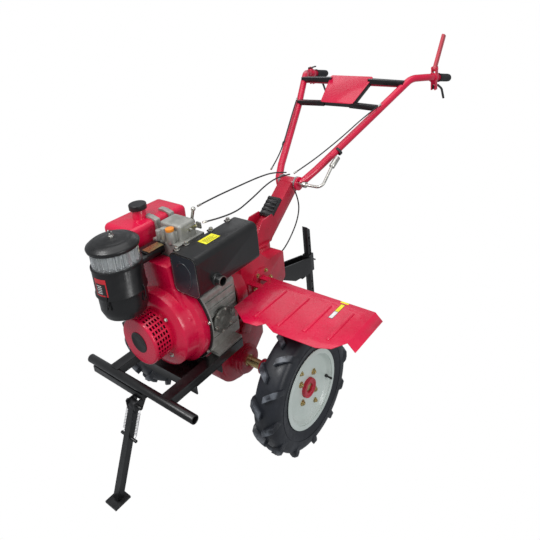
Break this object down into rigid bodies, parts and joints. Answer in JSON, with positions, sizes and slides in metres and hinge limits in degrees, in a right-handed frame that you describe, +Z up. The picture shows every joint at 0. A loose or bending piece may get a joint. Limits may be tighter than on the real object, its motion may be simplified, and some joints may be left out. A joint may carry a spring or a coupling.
{
  "type": "tiller",
  "caption": "Walk-behind diesel tiller with lugged wheels, fenders, folding front stand, drag stake and swivelling, height-adjustable handlebars.",
  "frame": {"origin": "bottom centre of the bounding box, on the ground", "axes": "+Z up; +Y rearward, from the front bumper to the handgrips; +X to the operator's left"},
  "size_m": [1.236, 1.986, 1.2532],
  "materials": {
    "red_paint": "gloss crimson paint",
    "red_casting": "gloss crimson paint over a light-alloy casting",
    "black_paint": "satin black paint",
    "grey_casting": "as-cast, slightly dull",
    "steel": "machined",
    "yellow_zinc": "yellow-chromated zinc plate",
    "bright_zinc": "bright zinc plate",
    "white_paint": "off-white paint",
    "tyre_rubber": "matte black, dusty lugs",
    "clear_plastic": "clear, slightly scuffed",
    "orange_plastic": "moulded",
    "black_plastic": "moulded",
    "black_rubber": "matte"
  },
  "bodies": {
    "chassis": {"left_rail": "black_paint", "right_rail": "black_paint", "front_bumper": "black_paint", "stand_crossbar": "black_paint", "engine_bed": "black_paint", "crankcase": "grey_casting", "cylinder": "grey_casting", "rocker_cover": "grey_casting", "blower_housing": "red_paint", "recoil_drum": "red_paint", "muffler": "black_paint", "air_cleaner_body": "black_paint", "precleaner_bowl": "clear_plastic", "air_cleaner_lid": "black_paint", "intake_elbow": "black_paint", "fuel_tank": "red_paint", "tank_straps": "grey_casting", "clutch_housing": "red_casting", "gearbox_case": "red_casting", "walking_case": "red_casting", "left_fender": "red_paint", "right_fender": "red_paint", "hitch_bracket": "black_paint", "engine_cables": "black_rubber", "gearbox_cable": "black_rubber"},
    "stand": {"front_stand": "black_paint", "stand_springs": "steel"},
    "rotor": {"crankshaft": "steel", "flywheel": "steel"},
    "starter_handle": {"recoil_handle": "black_plastic"},
    "wheels": {"axle_gear": "steel", "hex_axle": "yellow_zinc", "left_hub": "red_paint", "right_hub": "red_paint", "left_rim": "white_paint", "right_rim": "white_paint", "left_tyre": "tyre_rubber", "right_tyre": "tyre_rubber", "wheel_bolts": "yellow_zinc"},
    "pinion": {"drive_pinion": "steel"},
    "stake": {"drag_stake": "black_paint"},
    "oil_filler_cap": {"oil_cap": "orange_plastic"},
    "fuel_filler_cap": {"fuel_cap": "black_plastic"},
    "decompressor": {"decompression_lever": "bright_zinc"},
    "governor_arm": {"throttle_arm": "bright_zinc"},
    "column": {"steering_column": "red_paint", "pivot_ratchets": "steel", "shift_guide": "black_plastic"},
    "handlebar": {"left_handlebar": "red_paint", "right_handlebar": "red_paint", "cross_tube": "red_paint", "console_frame": "black_paint", "console_panel": "red_paint", "handlebar_grips": "black_rubber", "handlebar_cables": "black_rubber"},
    "clamp_handle": {"lock_handle": "bright_zinc"},
    "main_clutch": {"clutch_lever": "red_paint"},
    "left_steering_clutch": {"left_hand_lever": "black_paint"},
    "right_steering_clutch": {"right_hand_lever": "black_paint"},
    "throttle": {"throttle_lever": "black_plastic"}
  },
  "joints": [
    {"name": "stand_fold", "type": "hinge", "parent": "chassis", "child": "stand", "pos_m": [0, -0.83102, 0.294], "axis": [1, 0, 0], "range_deg": [0, 85]},
    {"name": "crank_spin", "type": "hinge", "parent": "chassis", "child": "rotor", "pos_m": [0, -0.53302, 0.496], "axis": [0, 1, 0], "continuous": true},
    {"name": "starter_pull", "type": "slide", "parent": "chassis", "child": "starter_handle", "axis": [-0.9848, 0, -0.1736], "range_m": [0, 0.5], "stiffness_N_per_m": 20, "springref_m": -0.05},
    {"name": "wheel_spin", "type": "hinge", "parent": "chassis", "child": "wheels", "pos_m": [0, -0.41302, 0.236], "axis": [1, 0, 0], "continuous": true},
    {"name": "pinion_spin", "type": "hinge", "parent": "chassis", "child": "pinion", "pos_m": [0, -0.35146, 0.3148], "axis": [1, 0, 0], "continuous": true},
    {"name": "stake_height", "type": "slide", "parent": "chassis", "child": "stake", "axis": [0, 0, 1], "range_m": [-0.06, 0.12]},
    {"name": "oil_cap_turn", "type": "hinge", "parent": "chassis", "child": "oil_filler_cap", "pos_m": [0.014, -0.57902, 0.818], "axis": [0, 0, 1], "range_deg": [0, 720]},
    {"name": "fuel_cap_turn", "type": "hinge", "parent": "chassis", "child": "fuel_filler_cap", "pos_m": [-0.158, -0.56302, 0.824], "axis": [0, 0, 1], "range_deg": [0, 90]},
    {"name": "decompression", "type": "hinge", "parent": "chassis", "child": "decompressor", "pos_m": [0.012, -0.48702, 0.81], "axis": [0, 1, 0], "range_deg": [0, 50], "stiffness_Nm_per_rad": 0.4, "springref_deg": -17.19},
    {"name": "governor_arm", "type": "hinge", "parent": "chassis", "child": "governor_arm", "pos_m": [0.042, -0.51702, 0.805], "axis": [1, 0, 0], "range_deg": [0, 30], "stiffness_Nm_per_rad": 0.4, "springref_deg": -17.19},
    {"name": "handlebar_swivel", "type": "hinge", "parent": "chassis", "child": "column", "pos_m": [0, -0.14502, 0.562], "axis": [0, 0, 1], "range_deg": [-30, 30], "deforming": ["engine_cables", "gearbox_cable"]},
    {"name": "handlebar_height", "type": "hinge", "parent": "column", "child": "handlebar", "pos_m": [0, 0.10598, 0.742], "axis": [1, 0, 0], "range_deg": [-12, 18]},
    {"name": "clamp_handle_turn", "type": "hinge", "parent": "handlebar", "child": "clamp_handle", "pos_m": [0, 0.10598, 0.742], "axis": [1, 0, 0], "range_deg": [-60, 20]},
    {"name": "main_clutch_lever", "type": "hinge", "parent": "handlebar", "child": "main_clutch", "pos_m": [0.3422, 0.83998, 1.1014], "axis": [1, 0, 0], "range_deg": [-50, 0]},
    {"name": "left_hand_lever", "type": "hinge", "parent": "handlebar", "child": "left_steering_clutch", "pos_m": [0.34164, 0.83758, 1.01508], "axis": [1, 0, 0], "range_deg": [0, 12], "stiffness_Nm_per_rad": 3, "springref_deg": -17.19},
    {"name": "right_hand_lever", "type": "hinge", "parent": "handlebar", "child": "right_steering_clutch", "pos_m": [-0.34164, 0.83758, 1.01508], "axis": [1, 0, 0], "range_deg": [0, 12], "stiffness_Nm_per_rad": 3, "springref_deg": -17.19},
    {"name": "throttle_lever", "type": "hinge", "parent": "handlebar", "child": "throttle", "pos_m": [-0.3408, 0.81898, 1.0896], "axis": [0, 0, 1], "range_deg": [0, 70]}
  ],
  "couplings": [
    {"joint": "pinion_spin", "follows": "wheel_spin", "ratio": -2.5714}
  ]
}
